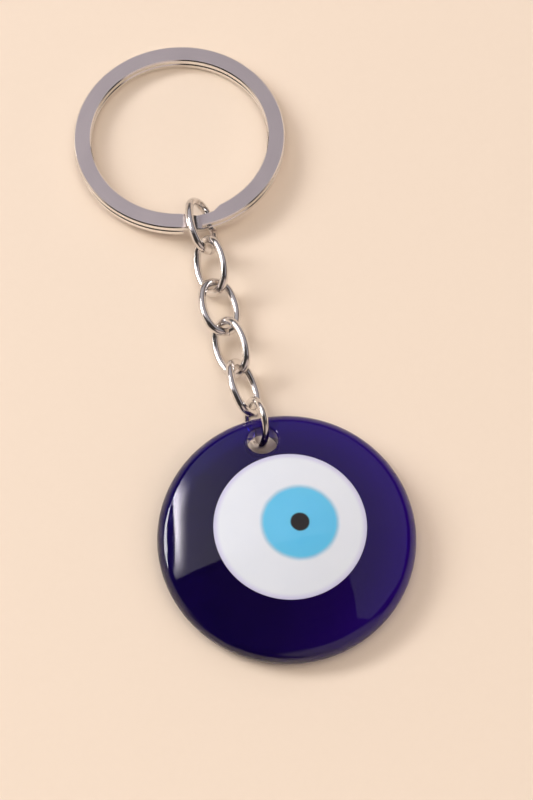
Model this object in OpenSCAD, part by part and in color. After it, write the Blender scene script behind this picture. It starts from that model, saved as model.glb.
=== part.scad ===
// Evil eye keychain: a cobalt glass eye with a hanging hole, a jump ring,
// a five link chain and a two turn split ring, lying flat on a table.
//
// Frame: +Z is up from the table, +Y runs along the chain from the glass eye
// to the split ring, and the origin is under the middle of the whole keychain.

/* [Glass eye] */
// Outer diameter of the glass disc
glass_d = 35; // [30:0.5:43]
// Thickness of the glass at the top of its dome
glass_t = 6.6; // [5.4:0.1:8]
// Radius of the fully rounded rim
rim_r = 2; // [1.6:0.05:2.3]
// Diameter of the white disc
white_d = 20.6; // [16:0.2:21.6]
// Depth of the white glass under its edge
white_depth = 2.2; // [1.6:0.1:2.8]
// Centre of the white disc, to the right of the middle of the glass
white_x = 0.55; // [-1:0.05:1]
// Centre of the white disc, towards the hanging hole
white_y = 0.5; // [-1:0.05:1]
// Diameter of the light blue iris
iris_d = 10.4; // [8:0.1:12]
// Depth of the light blue glass under its edge
iris_depth = 1.1; // [0.8:0.05:1.3]
// Centre of the iris, to the right of the centre of the white disc
iris_x = 1.3; // [0:0.05:2]
// Diameter of the black pupil
pupil_d = 2.6; // [2:0.1:3.4]
// Depth of the black glass under its edge
pupil_depth = 0.7; // [0.65:0.05:0.9]

/* [Hanging hole] */
// Diameter of the hole through the glass
hole_d = 4.2; // [3.4:0.1:5]
// Glass left between the hole and the outer edge
hole_land = 1.8; // [1.4:0.1:2.2]
// Rounding of the two lips of the hole
hole_lip = 0.5; // [0.3:0.05:0.6]

/* [Jump ring] */
// Wire diameter of the jump ring
jump_wire = 0.95; // [0.8:0.05:1.15]
// Room left between the jump ring and the glass land that it goes round
jump_play = 0.28; // [0.24:0.02:0.5]

/* [Chain] */
// Wire diameter of the links
link_wire = 1.15; // [0.95:0.05:1.4]
// Length of a link inside
link_in_l = 6.7; // [5.8:0.1:9]
// Width of a link inside
link_in_w = 4.05; // [3.9:0.05:5]
// How much tighter than half the link's width its ends are bent, which makes it oval
link_oval = 0.35; // [0.25:0.05:0.5]
// Free play between two links, and between a link and a ring
link_play = 0.3; // [0.2:0.02:0.5]
// Width of the butt seam where the bent wire closes
seam_gap = 0.06; // [0.04:0.01:0.15]

/* [Split ring] */
// Outer diameter of the split ring
ring_d = 30; // [25:0.5:36]
// Width of its flat wire
ring_wire_w = 2.4; // [1.8:0.1:2.6]
// Thickness of its flat wire
ring_wire_t = 0.95; // [0.85:0.05:1.15]
// Gap between the two turns
ring_turn_gap = 0.1; // [0.06:0.02:0.2]
// Chamfer on the edges of the flat wire
ring_chamfer = 0.14; // [0.08:0.02:0.24]
// Angle over which the wire steps from the upper turn to the lower one
ring_step = 12; // [10:1:16]
// Where the step lies, clockwise round the ring from the chain
ring_seam_turn = 6; // [4:1:9]
// Length of the ground taper at each end of the wire
ring_taper = 2.8; // [2:0.1:3.6]
// Width of the blunt tip of that taper
ring_tip = 0.35; // [0.2:0.05:0.6]

/* [Hidden] */

$fn = 96;
// The dome and the drops are shallow, so they take a finer circle
DOME_FN = 256;

// Height at which a piece clears the wire that it lies on
rest_gap = 0.06;

// How each link lies: [yaw, pitch, roll] in degrees, link 1 at the split ring.
// Yaw turns it seen from above, pitch lifts its far end, and roll lifts its right side.
LINK_LIE = [[-4, -4, -53], [-1, 3, 48], [-4, -2, -26], [5, 0, 46], [1, 0, -51]];
LINKS = len(LINK_LIE);
// The jump ring stands almost on edge
JUMP_LIE = [6, -12, 72];
// Where the butt seams close, as a turn round from the end that points to the glass
LINK_SEAM_TURN = 14;
JUMP_SEAM_TURN = 125;

// ---- Glass, in its own frame: flat back on z = 0, centred on z ----
glass_r = glass_d / 2;
flat_r = glass_r - rim_r;
// Radius of the dome that meets the rounded rim without an edge
dome_r = (flat_r ^ 2 + (glass_t - rim_r) ^ 2 - rim_r ^ 2) / (2 * (glass_t - 2 * rim_r));
dome_z = glass_t - dome_r;
// Radius at which the dome hands over to the rim
dome_end = flat_r * dome_r / (dome_r - rim_r);
hole_r = hole_d / 2;
hole_y = glass_r - hole_land - hole_r;
hole_top = dome_z + sqrt(dome_r ^ 2 - hole_y ^ 2);

// ---- Jump ring, round the land between the hole and the rim ----
// The middle of the ring lies a little inside the rim
jump_y = glass_r - hole_land / 4;
// The ring's inside passes the two rounded shoulders where the lips meet the faces.
// It leans, so it passes them a little to the side, where the hole is less deep.
shoulder_z = rim_r;
shoulder_x = shoulder_z * cos(JUMP_LIE[2]) + jump_wire / 2;
shoulder_y = hole_y + sqrt(hole_r ^ 2 - shoulder_x ^ 2) + hole_lip / 2;
jump_r = norm([jump_y - shoulder_y, shoulder_z]) + jump_play + jump_wire / 2;
// The glass is lifted at the hole by the jump ring that passes under it
jump_drop = jump_r * sin(JUMP_LIE[2]) + jump_wire / 2;
glass_tilt = asin((jump_drop + rest_gap - rim_r) / (jump_y + flat_r));

// ---- Chain ----
// Half the length and half the width of a link, to the middle of its wire
link_a = (link_in_l + link_wire) / 2;
link_b = (link_in_w + link_wire) / 2;
// Radius of an oval link's ends and of its sides, and the angle at which they meet
link_end_r = link_b - link_oval;
link_end_y = link_a - link_end_r;
link_side_r = (link_b ^ 2 + link_end_y ^ 2 - link_end_r ^ 2) / (2 * link_oval);
link_side_turn = atan2(link_end_y, link_side_r - link_b);
// The sides run on a little into the ends, and are a hair thinner, so that the ends hold them
side_hold = 0.05;
side_thin = 0.98;

function along(lie) = [-sin(lie[0]) * cos(lie[1]), cos(lie[0]) * cos(lie[1]), sin(lie[1])];
function between(lie_a, lie_b) = let (s = along(lie_a) + along(lie_b)) s / norm(s);
function glass_place(p) = [
    p[0],
    -flat_r + (p[1] + flat_r) * cos(glass_tilt) - (p[2] - rim_r) * sin(glass_tilt),
    rim_r + (p[1] + flat_r) * sin(glass_tilt) + (p[2] - rim_r) * cos(glass_tilt)];

jump_c = glass_place([0, jump_y, rim_r]);
// Centre of link i, counted from 0 at the split ring, from the piece that hangs on it
function link_c(i) = i == LINKS - 1
    ? jump_c + jump_r * along(JUMP_LIE)
        - ((jump_wire + link_wire) / 2 + link_play) * between(JUMP_LIE, LINK_LIE[i])
        + link_a * along(LINK_LIE[i])
    : link_c(i + 1) + link_a * along(LINK_LIE[i + 1])
        - (link_wire + link_play) * between(LINK_LIE[i + 1], LINK_LIE[i])
        + link_a * along(LINK_LIE[i]);
// End of the first link's wire, inside the split ring
link_tip = link_c(0) + link_a * along(LINK_LIE[0]);

// ---- Split ring, in its own frame: centred on z, lower face on z = 0 ----
ring_r = ring_d / 2;
ring_in_r = ring_r - ring_wire_w;
ring_pitch = ring_wire_t + ring_turn_gap;
ring_t = ring_pitch + ring_wire_t;
// An upper end starts where the step has sunk clear of it
ring_end = 0.42 * ring_step;
ring_steps = 20;
// Play between the corners of the flat wire and the first link
corner_play = 0.58;
// How far the step runs on into each turn, and its size beside the wire's
step_hold = 1.5;
step_thin = 0.994;
// The ring is lifted at the chain by the first link, whose middle is level with it
ring_tilt = asin((link_tip[2] - ring_t / 2) / (ring_d - ring_wire_w));
// Seen along the ring's wire, the room inside the end of the first link is half an
// ellipse, and the corners of the flat wire stand as far into it as they can
bow_y = link_end_r - link_wire / 2;
bow_z = link_end_r * abs(sin(LINK_LIE[0][2])) - link_wire / 2;
bow_x = link_end_r * cos(LINK_LIE[0][2]);
bow_reach = link_end_r - bow_y * sqrt(1 - (ring_t / 2 / bow_z) ^ 2)
    + bow_x ^ 2 / (2 * ring_in_r) + corner_play;
ring_back_y = link_tip[1] - bow_reach - ring_wire_w + (ring_d - ring_chamfer) * cos(ring_tilt);

// ---- Middle of the whole keychain ----
keychain_front = -glass_r - rim_r * sin(glass_tilt);
keychain_back = ring_back_y + ring_chamfer + (ring_t - ring_chamfer) * sin(ring_tilt);
origin_y = (keychain_front + keychain_back) / 2;

// ---- Shared shapes ----
module in_keychain() {
    translate([0, -origin_y, 0]) children();
}

module lie_at(centre, lie) {
    translate(centre) rotate([lie[1], 0, lie[0]]) rotate([0, -lie[2], 0]) children();
}

// A length of round wire bent to radius r about (x, y)
module wire_arc(x, y, r, wire, from, to) {
    translate([x, y, 0])
        rotate_extrude(angle = to - from, start = from)
            translate([r, 0])
                circle(d = wire);
}

// ---- Split ring ----
ring_section = let (w = ring_wire_w, t = ring_wire_t / 2, c = ring_chamfer) [
    [c, -t], [w - c, -t], [w, c - t], [w, t - c], [w - c, t], [c, t], [0, t - c], [0, c - t]];

// One turn, from its tapered end round into the step
module ring_turn() {
    tip_r = ring_r - ring_tip;
    taper_angle = atan2(ring_wire_w - ring_tip, ring_taper);
    translate([0, 0, ring_pitch / 2])
        difference() {
            rotate_extrude(angle = 360 - ring_step / 2 - ring_end, start = ring_end - 90)
                translate([ring_in_r, 0])
                    polygon(ring_section);
            rotate([0, 0, ring_end])
                translate([0, -tip_r, -ring_wire_t])
                    rotate([0, 0, taper_angle])
                        translate([-ring_tip, 0, 0])
                            cube([2 * ring_taper, 2 * ring_wire_w, 2 * ring_wire_t]);
        }
}

// The step down from the upper turn to the lower turn. It runs on into both turns,
// and is a hair thinner than they are, so that they hold it.
function step_z(a) = -ring_pitch / 2 * sin(180 * min(max(a / ring_step, -0.5), 0.5));
function step_ring(a) = [
    for (p = ring_section)
        let (q = step_thin * p + [(1 - step_thin) * ring_wire_w / 2, 0], r = ring_in_r + q[0])
            [r * sin(a), -r * cos(a), q[1] + step_z(a)]];

module ring_step_down() {
    sides = len(ring_section);
    reach = ring_step + 2 * step_hold;
    points = [for (i = [0:ring_steps]) each step_ring(reach * (i / ring_steps - 0.5))];
    first = [for (k = [sides - 1:-1:0]) k];
    last = [for (k = [0:sides - 1]) ring_steps * sides + k];
    walls = [
        for (i = [0:ring_steps - 1], k = [0:sides - 1])
            let (a = i * sides + k, b = i * sides + (k + 1) % sides)
                each [[a, b, b + sides], [a, b + sides, a + sides]]];
    polyhedron(points = points, faces = concat([first, last], walls));
}

module split_ring() {
    color("silver")
        in_keychain()
            translate([link_tip[0], ring_back_y, 0])
                rotate([-ring_tilt, 0, 0])
                    translate([0, ring_chamfer - ring_r, ring_t / 2])
                        rotate([0, 0, -ring_seam_turn]) {
                            ring_turn();
                            rotate([0, 180, 0]) ring_turn();
                            ring_step_down();
                        }
}

// ---- Chain ----
module chain_link(i) {
    half_seam = seam_gap / link_end_r * 90 / PI;
    bottom = 270 + LINK_SEAM_TURN;
    side_turn = link_side_turn + side_hold / link_side_r * 180 / PI;
    color("gainsboro")
        in_keychain()
            lie_at(link_c(i), LINK_LIE[i]) {
                for (s = [0, 1])
                    mirror([s, 0, 0])
                        wire_arc(link_b - link_side_r, 0, link_side_r, side_thin * link_wire,
                                 -side_turn, side_turn);
                wire_arc(0, link_end_y, link_end_r, link_wire, link_side_turn, 180 - link_side_turn);
                wire_arc(0, -link_end_y, link_end_r, link_wire, 180 + link_side_turn, bottom - half_seam);
                wire_arc(0, -link_end_y, link_end_r, link_wire, bottom + half_seam, 360 - link_side_turn);
            }
}

module jump_ring() {
    half_seam = seam_gap / jump_r * 90 / PI;
    seam = 270 + JUMP_SEAM_TURN;
    color("gainsboro")
        in_keychain()
            lie_at(jump_c, JUMP_LIE)
                wire_arc(0, 0, jump_r, jump_wire, seam + half_seam, seam + 360 - half_seam);
}

// ---- Glass ----
module glass_outline() {
    intersection() {
        translate([0, dome_z]) circle(dome_r, $fn = DOME_FN);
        union() {
            square([flat_r, glass_t]);
            translate([0, rim_r]) square([dome_end, glass_t]);
        }
    }
    translate([flat_r, rim_r]) circle(rim_r);
}

module glass_form() {
    rotate_extrude($fn = DOME_FN) glass_outline();
}

// The ball whose cap is the dome
module glass_dome() {
    translate([0, 0, dome_z]) sphere(dome_r, $fn = DOME_FN);
}

// The hole that the jump ring goes through, with a rounded lip on each face
module hanging_hole() {
    translate([0, hole_y, 0]) {
        translate([0, 0, -glass_t]) cylinder(r = hole_r, h = 3 * glass_t);
        rotate_extrude()
            difference() {
                translate([0, -hole_lip]) square([hole_r + hole_lip, 2 * hole_lip]);
                translate([hole_r + hole_lip, hole_lip]) circle(hole_lip);
            }
        translate([0, 0, hole_top])
            rotate([-asin(hole_y / dome_r), 0, 0])
                rotate_extrude()
                    difference() {
                        translate([0, -hole_lip]) square([hole_r + hole_lip, 3 * hole_lip]);
                        translate([hole_r + hole_lip, -hole_lip]) circle(hole_lip);
                    }
    }
}

// A drop of molten glass that sank into the dome: its edge is a circle of
// diameter d on the dome, and its underside is a shallow bowl
module drop(x, y, d, depth) {
    bowl_r = ((d / 2) ^ 2 + depth ^ 2) / (2 * depth);
    lift = asin(y / dome_r);
    turn = asin(x / (dome_r * cos(lift)));
    translate([0, 0, dome_z])
        rotate([0, turn, 0])
            rotate([-lift, 0, 0])
                translate([0, 0, sqrt(dome_r ^ 2 - (d / 2) ^ 2) + bowl_r - depth])
                    sphere(bowl_r, $fn = DOME_FN);
}

module white_drop() {
    drop(white_x, white_y, white_d, white_depth);
}

module iris_drop() {
    drop(white_x + iris_x, white_y, iris_d, iris_depth);
}

module pupil_drop() {
    drop(white_x + iris_x, white_y, pupil_d, pupil_depth);
}

module glass_lie() {
    in_keychain()
        translate([0, -flat_r, rim_r])
            rotate([glass_tilt, 0, 0])
                translate([0, flat_r, -rim_r])
                    children();
}

module cobalt_glass() {
    color("midnightblue")
        glass_lie()
            difference() {
                glass_form();
                white_drop();
                hanging_hole();
            }
}

module white_glass() {
    color("white")
        glass_lie()
            difference() {
                intersection() {
                    glass_form();
                    white_drop();
                }
                iris_drop();
                hanging_hole();
            }
}

module light_blue_glass() {
    color("skyblue")
        glass_lie()
            difference() {
                intersection() {
                    glass_form();
                    iris_drop();
                }
                pupil_drop();
            }
}

module black_glass() {
    color("black")
        glass_lie()
            intersection() {
                glass_dome();
                pupil_drop();
            }
}

split_ring();
chain_link(0);  // chain_link_1
chain_link(1);  // chain_link_2
chain_link(2);  // chain_link_3
chain_link(3);  // chain_link_4
chain_link(4);  // chain_link_5
jump_ring();
cobalt_glass();
white_glass();
light_blue_glass();
black_glass();
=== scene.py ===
"""Evil eye keychain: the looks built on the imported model.

Everything is in metres in the model's own frame: +Z up from the table, +Y along the
chain from the glass eye to the split ring.
"""

import math

import bpy
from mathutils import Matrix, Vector


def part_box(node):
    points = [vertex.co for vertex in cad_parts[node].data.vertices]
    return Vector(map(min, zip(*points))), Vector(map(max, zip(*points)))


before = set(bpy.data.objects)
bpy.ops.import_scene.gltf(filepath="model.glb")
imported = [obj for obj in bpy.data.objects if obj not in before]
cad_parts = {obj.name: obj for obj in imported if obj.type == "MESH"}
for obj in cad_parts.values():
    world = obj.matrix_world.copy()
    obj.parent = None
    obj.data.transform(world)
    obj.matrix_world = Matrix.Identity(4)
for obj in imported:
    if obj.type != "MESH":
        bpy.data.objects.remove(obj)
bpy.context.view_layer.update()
MM = 0.001


# ---- Places worked out from the frame ----
def middle(node):
    low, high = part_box(node)
    return (Vector(low) + Vector(high)) / 2


def span(node):
    low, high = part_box(node)
    return Vector(high) - Vector(low)


GLASS = middle("cobalt_glass")
RING = middle("split_ring")
DISC = middle("white_glass")
DISC_R = span("white_glass").x / 2
IRIS = middle("light_blue_glass")
IRIS_R = span("light_blue_glass").x / 2
PUPIL = middle("black_glass")
PUPIL_R = span("black_glass").x / 2


# ---- Node helpers ----
class Shader:
    """A node material being built. Each method adds one node and returns its output."""

    def __init__(self, name):
        self.material = bpy.data.materials.new(name)
        self.material.use_nodes = True
        self.tree = self.material.node_tree
        self.tree.nodes.clear()
        self.output = self.tree.nodes.new("ShaderNodeOutputMaterial")

    def node(self, kind, **settings):
        made = self.tree.nodes.new(kind)
        for key, value in settings.items():
            setattr(made, key, value)
        return made

    def link(self, source, socket):
        self.tree.links.new(source, socket)

    def feed(self, socket, value):
        if isinstance(value, bpy.types.NodeSocket):
            self.link(value, socket)
        else:
            socket.default_value = value

    def place(self):
        return self.node("ShaderNodeTexCoord").outputs["Object"]

    def facing(self):
        return self.node("ShaderNodeTexCoord").outputs["Normal"]

    def xyz(self, vector):
        made = self.node("ShaderNodeSeparateXYZ")
        self.link(vector, made.inputs[0])
        return made.outputs

    def math(self, operation, a, b=0.0):
        made = self.node("ShaderNodeMath", operation=operation)
        for socket, value in zip(made.inputs, (a, b)):
            self.feed(socket, value)
        return made.outputs[0]

    def vector(self, operation, a, b=(0.0, 0.0, 0.0)):
        made = self.node("ShaderNodeVectorMath", operation=operation)
        self.feed(made.inputs[0], a)
        self.feed(made.inputs[1], b)
        gives_number = operation in ("LENGTH", "DISTANCE", "DOT_PRODUCT")
        return made.outputs["Value" if gives_number else "Vector"]

    def ramp(self, value, low, high, out_low=0.0, out_high=1.0):
        made = self.node("ShaderNodeMapRange", interpolation_type="SMOOTHSTEP")
        for name, number in (("Value", value), ("From Min", low), ("From Max", high),
                             ("To Min", out_low), ("To Max", out_high)):
            self.feed(made.inputs[name], number)
        return made.outputs[0]

    def noise(self, place, scale, detail=2.0, roughness=0.5):
        made = self.node("ShaderNodeTexNoise")
        self.feed(made.inputs["Vector"], place)
        made.inputs["Scale"].default_value = scale
        made.inputs["Detail"].default_value = detail
        made.inputs["Roughness"].default_value = roughness
        return made.outputs["Fac"]

    def mix(self, factor, a, b):
        made = self.node("ShaderNodeMix", data_type="RGBA")
        self.feed(made.inputs["Factor"], factor)
        self.feed(made.inputs[6], a)
        self.feed(made.inputs[7], b)
        return made.outputs[2]

    def bump(self, height, distance, strength=1.0, normal=None):
        made = self.node("ShaderNodeBump")
        made.inputs["Strength"].default_value = strength
        made.inputs["Distance"].default_value = distance
        self.feed(made.inputs["Height"], height)
        if normal is not None:
            self.link(normal, made.inputs["Normal"])
        return made.outputs[0]

    def principled(self, **values):
        made = self.node("ShaderNodeBsdfPrincipled")
        for name, value in values.items():
            self.feed(made.inputs[name.replace("_", " ")], value)
        return made.outputs[0]

    def done(self, surface):
        self.link(surface, self.output.inputs["Surface"])
        return self.material


def colour(red, green, blue):
    return (red, green, blue, 1.0)


# ---- Metals ----
# How fine the ring's streaks are: per metre across, per radian round and per metre upwards
STREAK_ACROSS, STREAK_ROUND, STREAK_UP = 9000.0, 5.0, 900.0
SATIN_DARK, SATIN_LIGHT = colour(0.70, 0.635, 0.635), colour(0.76, 0.69, 0.69)
WALL_COLOUR = colour(0.86, 0.84, 0.82)
WALL_ROUGH = 0.09
LINK_DARK, LINK_LIGHT = colour(0.74, 0.71, 0.69), colour(0.80, 0.77, 0.75)
# How far each piece of wire is shifted in the noise, so that no two have the same marks
LINK_SEED_STEP, JUMP_RING_SEED = 0.37, 0.11


def ring_nickel():
    """Nickel plate on flat wire: satin faces with fine streaks round the ring, polished walls."""
    s = Shader("ring_nickel")
    place = s.place()
    x, y, z = s.xyz(s.vector("SUBTRACT", place, tuple(RING)))
    radius = s.math("SQRT", s.math("ADD", s.math("MULTIPLY", x, x), s.math("MULTIPLY", y, y)))
    streak_place = s.node("ShaderNodeCombineXYZ")
    s.feed(streak_place.inputs[0], s.math("MULTIPLY", radius, STREAK_ACROSS))
    s.feed(streak_place.inputs[1], s.math("MULTIPLY", s.math("ARCTAN2", y, x), STREAK_ROUND))
    s.feed(streak_place.inputs[2], s.math("MULTIPLY", z, STREAK_UP))
    streaks = s.noise(streak_place.outputs[0], 1.0, 4.0, 0.6)
    clouds = s.noise(place, 260.0, 3.0)
    flat = s.ramp(s.math("ABSOLUTE", s.xyz(s.facing())[2]), 0.9, 0.985)
    plate = s.mix(flat, WALL_COLOUR, s.mix(streaks, SATIN_DARK, SATIN_LIGHT))
    streaky = s.ramp(streaks, 0.2, 0.8, 0.30, 0.37)
    satin_rough = s.math("ADD", streaky, s.ramp(clouds, 0.3, 0.7, -0.03, 0.03))
    rough = s.node("ShaderNodeMix", data_type="FLOAT")
    s.feed(rough.inputs["Factor"], flat)
    s.feed(rough.inputs[2], WALL_ROUGH)
    s.feed(rough.inputs[3], satin_rough)
    grain = s.bump(s.math("MULTIPLY", streaks, flat), 0.004 * MM, 0.2)
    return s.done(s.principled(
        Base_Color=plate, Metallic=1.0, Roughness=rough.outputs[0], Normal=grain))


def link_nickel(name, seed):
    """Polished nickel plate on round wire, with faint drawing lines and handling marks."""
    s = Shader(name)
    place = s.vector("ADD", s.place(), (seed, 0.0, 0.0))
    marks = s.noise(place, 2600.0, 4.0, 0.65)
    clouds = s.noise(place, 420.0, 2.0)
    marked = s.ramp(marks, 0.35, 0.75, 0.12, 0.18)
    rough = s.math("ADD", marked, s.ramp(clouds, 0.3, 0.7, 0.0, 0.04))
    plate = s.mix(clouds, LINK_DARK, LINK_LIGHT)
    grain = s.bump(marks, 0.003 * MM, 0.15)
    return s.done(s.principled(Base_Color=plate, Metallic=1.0, Roughness=rough, Normal=grain))


# ---- Glass ----
GLASS_IOR = 1.52
GLASS_ROUGH = 0.03
# Share of the cobalt glass that scatters light, where the rest of it is clear
SCATTER_SHARE = 0.4
DEEP_DARK, DEEP_LIGHT = colour(0.006, 0.0006, 0.050), colour(0.009, 0.0010, 0.075)
# Painted light: a paler blue painted into the glass on the right and near its edge, in place of
# light shining through it
PAINTED_GLOW_COBALT = colour(0.040, 0.0015, 0.33)
ABSORB_COLOUR = colour(0.05, 0.0, 0.85)
ABSORB_DENSITY = 1500.0
WHITE_DARK, WHITE_LIGHT = colour(0.73, 0.785, 0.88), colour(0.78, 0.83, 0.91)
WHITE_EDGE = colour(0.62, 0.62, 0.86)
BLUE_DARK, BLUE_LIGHT = colour(0.115, 0.53, 0.86), colour(0.15, 0.58, 0.89)
BLACK = colour(0.016, 0.013, 0.012)


def glass_skin(s, place):
    """The slight unevenness of glass that was pressed by hand and fire polished."""
    waves = s.noise(place, 130.0, 1.0)
    pits = s.noise(place, 1500.0, 3.0)
    return s.bump(pits, 0.004 * MM, 0.2, s.bump(waves, 0.10 * MM, 0.25))


def cobalt():
    """Deep cobalt glass: clear enough to glow where it is thin, with a little scatter inside, and
    with painted light: a paler blue painted in to the right and towards the edge.
    """
    s = Shader("cobalt_glass")
    place = s.place()
    skin = glass_skin(s, place)
    clear = s.principled(
        Base_Color=colour(1.0, 1.0, 1.0), Roughness=GLASS_ROUGH, IOR=GLASS_IOR,
        Transmission_Weight=1.0, Normal=skin)
    swirl = s.noise(place, 160.0, 3.0, 0.55)
    depth = s.mix(s.ramp(swirl, 0.3, 0.7), DEEP_DARK, DEEP_LIGHT)
    # Painted light: the blue is painted paler on the right, and near the edge where the glass is
    # thin, in place of light shining through it
    from_eye = s.vector("SUBTRACT", place, tuple(GLASS))
    along = s.vector("DOT_PRODUCT", from_eye, (1.0, 0.10, 0.0))
    painted_light_right = s.ramp(along, -13.0 * MM, 17.0 * MM)
    painted_light_edge = s.ramp(s.vector("LENGTH", from_eye), 11.0 * MM, 17.0 * MM, 0.55, 1.0)
    depth = s.mix(s.math("MULTIPLY", painted_light_right, painted_light_edge), depth, PAINTED_GLOW_COBALT)
    scatter = s.principled(
        Base_Color=depth, Roughness=GLASS_ROUGH, IOR=GLASS_IOR, Normal=skin)
    body = s.node("ShaderNodeMixShader")
    body.inputs[0].default_value = SCATTER_SHARE
    s.link(clear, body.inputs[1])
    s.link(scatter, body.inputs[2])
    absorb = s.node("ShaderNodeVolumeAbsorption")
    absorb.inputs["Color"].default_value = ABSORB_COLOUR
    absorb.inputs["Density"].default_value = ABSORB_DENSITY
    s.link(absorb.outputs[0], s.output.inputs["Volume"])
    return s.done(body.outputs[0])


def opal(name):
    """White, light blue and black opal glass, whose colours run a little into each other."""
    s = Shader(name)
    place = s.place()
    from_disc = s.vector("DISTANCE", place, tuple(DISC))
    from_iris = s.vector("DISTANCE", place, tuple(IRIS))
    from_pupil = s.vector("DISTANCE", place, tuple(PUPIL))
    wander = s.math("SUBTRACT", s.noise(place, 500.0, 2.0), 0.5)
    drift = s.math("MULTIPLY", wander, 0.2 * MM)
    cloud = s.noise(place, 220.0, 3.0)
    white = s.mix(cloud, WHITE_DARK, WHITE_LIGHT)
    white = s.mix(s.ramp(from_disc, DISC_R - 0.9 * MM, DISC_R), white, WHITE_EDGE)
    blue = s.mix(cloud, BLUE_DARK, BLUE_LIGHT)
    iris_edge = s.ramp(s.math("ADD", from_iris, drift), IRIS_R - 0.5 * MM, IRIS_R + 0.4 * MM)
    pupil_edge = s.ramp(
        s.math("ADD", from_pupil, drift), PUPIL_R - 0.12 * MM, PUPIL_R + 0.12 * MM)
    paint = s.mix(pupil_edge, BLACK, s.mix(iris_edge, blue, white))
    return s.done(s.principled(
        Base_Color=paint, Roughness=0.06, IOR=1.5, Subsurface_Weight=0.25,
        Subsurface_Radius=(1.0, 1.0, 1.0), Subsurface_Scale=0.6 * MM, Coat_Weight=0.3,
        Coat_Roughness=GLASS_ROUGH, Normal=glass_skin(s, place)))


def dress(node, material):
    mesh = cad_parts[node].data
    mesh.materials.clear()
    mesh.materials.append(material)


dress("split_ring", ring_nickel())
for number in range(1, 6):
    dress(f"chain_link_{number}", link_nickel(f"link_nickel_{number}", number * LINK_SEED_STEP))
dress("jump_ring", link_nickel("jump_ring_nickel", JUMP_RING_SEED))
dress("cobalt_glass", cobalt())
dress("white_glass", opal("white_opal"))
dress("light_blue_glass", opal("light_blue_opal"))
dress("black_glass", opal("black_opal"))


# ---- Table, light and camera ----
TABLE_HALF = 1.5
TABLE_DARK, TABLE_LIGHT = colour(0.860, 0.735, 0.610), colour(0.875, 0.750, 0.625)
PANEL_Z = 1.0
NEUTRAL, LILAC = (1.0, 0.985, 0.965), (1.0, 0.935, 1.0)
KEY_GLOW = 13.0
REFLECTOR_GLOW = 0.40
# The veil is the ceiling's weak glow, which falls from VEIL_LEFT to VEIL_RIGHT between these x
VEIL_START, VEIL_END = -0.65, 0.15
VEIL_LEFT, VEIL_RIGHT = 0.98, 0.44
CEILING_NEAR, CEILING_FAR, CEILING_RIGHT = 0.15, 1.60, 1.20
# The strip's left edge is at STRIP_LEFT for y = 0 and slants to the right by STRIP_SLANT
STRIP_LEFT, STRIP_SLANT = -0.685, 0.165
STRIP_FAR = 1.02
# It fades out to the right over STRIP_FEATHER, and is evenly hot where less than 1 - STRIP_LEVEL
# of that is crossed. Along y it rises, stays hot and fades again.
STRIP_FEATHER, STRIP_LEVEL = 0.13, 0.85
STRIP_RISE_START, STRIP_RISE_END, STRIP_FADE_START = 0.12, 0.46, 0.75
STRIP_GLOW = 30.0
FILL_PLACE = (0.5, 0.2, 1.2)
FILL_SIZE = 2.0
FILL_WATTS = 29.0
FILL_COLOUR = (1.0, 0.90, 0.78)
ROOM_OVERHEAD = colour(0.04, 0.035, 0.035)
ROOM_LOW = colour(0.80, 0.64, 0.53)
ROOM_DARK_SIDE = colour(0.05, 0.04, 0.035)
ROOM_FRONT = colour(0.62, 0.50, 0.46)


def stage_sheet(name, corners, height=0.0):
    """A flat four sided piece of the studio, with its corners as (x, y)."""
    mesh = bpy.data.meshes.new(name)
    mesh.from_pydata([(x, y, 0.0) for x, y in corners], [], [(0, 1, 2, 3)])
    made = bpy.data.objects.new(name, mesh)
    made.location.z = height
    bpy.context.scene.collection.objects.link(made)
    return made


def table():
    half = TABLE_HALF
    made = stage_sheet("table", [(-half, -half), (half, -half), (half, half), (-half, half)])
    s = Shader("table_paper")
    fibre = s.noise(s.place(), 900.0, 4.0)
    paper = s.principled(
        Base_Color=s.mix(fibre, TABLE_DARK, TABLE_LIGHT), Roughness=0.75,
        Normal=s.bump(fibre, 0.02 * MM, 0.2))
    made.data.materials.append(s.done(paper))


def panel(name, corners, glow, tint=NEUTRAL):
    """A lit panel over the table, with its corners from near left round to near right.
    The glow is a number, or a function of the shader and of x and y that returns one."""
    made = stage_sheet(name, corners, PANEL_Z)
    s = Shader(name)
    light = s.node("ShaderNodeEmission")
    light.inputs["Color"].default_value = colour(*tint)
    if callable(glow):
        x, y = s.xyz(s.place())[:2]
        glow = glow(s, x, y)
    s.feed(light.inputs["Strength"], glow)
    made.data.materials.append(s.done(light.outputs[0]))
    return made


def strip_edge(y):
    return STRIP_LEFT + STRIP_SLANT * y


def veil_glow(s, x, y):
    """Weak, and weaker still to the right."""
    return s.ramp(x, VEIL_START, VEIL_END, VEIL_LEFT, VEIL_RIGHT)


def strip_glow(s, x, y):
    """Hot along the strip's slanting left edge, fading out to the right and towards both ends."""
    edge = s.math("ADD", s.math("MULTIPLY", y, STRIP_SLANT), STRIP_LEFT)
    inward = s.math("DIVIDE", s.math("SUBTRACT", x, edge), STRIP_FEATHER)
    across = s.math("SUBTRACT", 1.0, inward)
    across = s.math("MINIMUM", s.math("MAXIMUM", across, 0.0), STRIP_LEVEL)
    ends = s.math("MULTIPLY", s.ramp(y, STRIP_RISE_START, STRIP_RISE_END),
                  s.ramp(y, STRIP_FAR, STRIP_FADE_START))
    hot = s.math("MULTIPLY", s.math("POWER", across, 3.0), ends)
    return s.math("ADD", s.math("MULTIPLY", hot, STRIP_GLOW), veil_glow(s, x, y))


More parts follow.
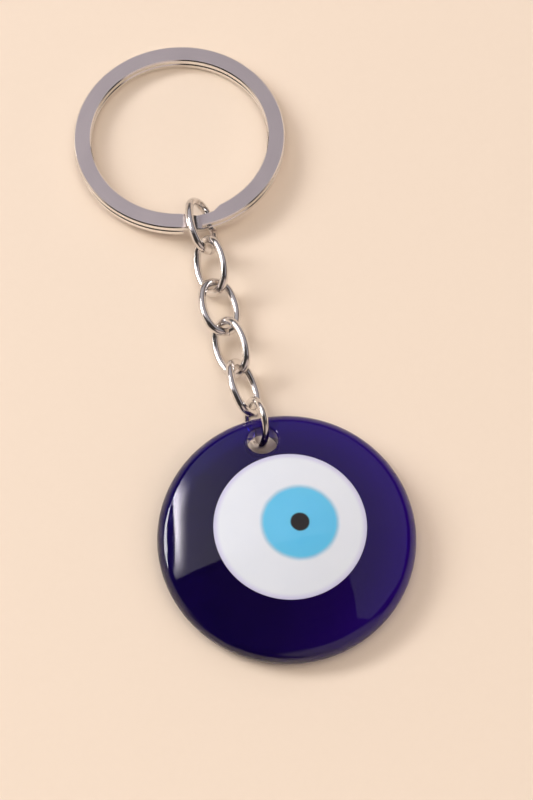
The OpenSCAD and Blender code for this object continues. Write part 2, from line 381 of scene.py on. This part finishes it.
def panels():
    """A softbox on the left, a wide weak ceiling that is hot along its left edge, and a weak
    panel near the camera on the right."""
    panel("key", [(-2.10, 0.47), (-2.10, 1.00), (-0.62, 1.00), (-0.74, 0.47)], KEY_GLOW)
    near, right = CEILING_NEAR, CEILING_RIGHT
    near_edge = strip_edge(near)
    panel("ceiling", [(near_edge, near), (strip_edge(CEILING_FAR), CEILING_FAR),
                      (right, CEILING_FAR), (right, near)], veil_glow, LILAC)
    far_edge = strip_edge(STRIP_FAR)
    strip = panel("strip", [(near_edge, near), (far_edge, STRIP_FAR),
                            (far_edge + STRIP_FEATHER, STRIP_FAR),
                            (near_edge + STRIP_FEATHER, near)], strip_glow, LILAC)
    # The strip hangs a little under the ceiling that it covers
    strip.location.z -= MM
    panel("reflector", [(0.40, -0.40), (0.40, near), (right, near), (right, -0.40)],
          REFLECTOR_GLOW, LILAC)


def fill():
    """A wide soft light from above that leaves no reflection of itself."""
    light = bpy.data.lights.new("fill", "AREA")
    light.shape = "SQUARE"
    light.size = FILL_SIZE
    light.energy = FILL_WATTS
    light.color = FILL_COLOUR
    lamp = bpy.data.objects.new("fill", light)
    lamp.location = FILL_PLACE
    lamp.visible_glossy = False
    bpy.context.scene.collection.objects.link(lamp)


def room():
    """A warm room: bright low down, dark overhead and to the left behind the camera, and half
    lit higher up behind the camera."""
    world = bpy.data.worlds.new("studio")
    world.use_nodes = True
    tree = world.node_tree
    place = tree.nodes.new("ShaderNodeTexCoord").outputs["Generated"]

    def towards(direction, low, high):
        """Goes from 0 to 1 as the cosine of the angle to the direction goes from low to high."""
        along = tree.nodes.new("ShaderNodeVectorMath")
        along.operation = "DOT_PRODUCT"
        tree.links.new(place, along.inputs[0])
        along.inputs[1].default_value = direction
        ramp = tree.nodes.new("ShaderNodeMapRange")
        ramp.interpolation_type = "SMOOTHSTEP"
        tree.links.new(along.outputs["Value"], ramp.inputs["Value"])
        ramp.inputs["From Min"].default_value = low
        ramp.inputs["From Max"].default_value = high
        return ramp.outputs[0]

    def over(factor, base, paint):
        blend = tree.nodes.new("ShaderNodeMix")
        blend.data_type = "RGBA"
        tree.links.new(factor, blend.inputs["Factor"])
        if isinstance(base, bpy.types.NodeSocket):
            tree.links.new(base, blend.inputs[6])
        else:
            blend.inputs[6].default_value = base
        blend.inputs[7].default_value = paint
        return blend.outputs[2]

    walls = over(towards((0.0, 0.0, 1.0), 0.42, 0.20), ROOM_OVERHEAD, ROOM_LOW)
    walls = over(towards((-0.55, -0.83, 0.0), 0.55, 0.85), walls, ROOM_DARK_SIDE)
    walls = over(towards((0.25, -0.85, 0.46), 0.84, 0.93), walls, ROOM_FRONT)
    tree.links.new(walls, tree.nodes["Background"].inputs["Color"])
    bpy.context.scene.world = world


# Where the camera stands, seen from the point that it is aimed at
VIEW_AZIMUTH, VIEW_ELEVATION = math.radians(-14.04), math.radians(67.0)
VIEW_REACH = 0.4472
VIEW_ANGLE = math.radians(14.10)
# That point: its x, and how far it lies along the chain from the glass eye's middle
AIM_X, AIM_ALONG = 0.002556, 0.021491


def camera():
    lens = bpy.data.cameras.new("camera")
    lens.sensor_fit = "VERTICAL"
    lens.angle = VIEW_ANGLE
    lens.clip_start = 0.01
    made = bpy.data.objects.new("camera", lens)
    aim = Vector((AIM_X, GLASS.y + AIM_ALONG, 0.0))
    level = math.cos(VIEW_ELEVATION)
    away = Vector((math.sin(VIEW_AZIMUTH) * level, -math.cos(VIEW_AZIMUTH) * level,
                   math.sin(VIEW_ELEVATION)))
    made.location = aim + VIEW_REACH * away
    made.rotation_euler = (-away).to_track_quat("-Z", "Y").to_euler()
    bpy.context.scene.collection.objects.link(made)
    bpy.context.scene.camera = made


table()
panels()
fill()
room()
camera()

bpy.context.scene.view_settings.view_transform = "Standard"
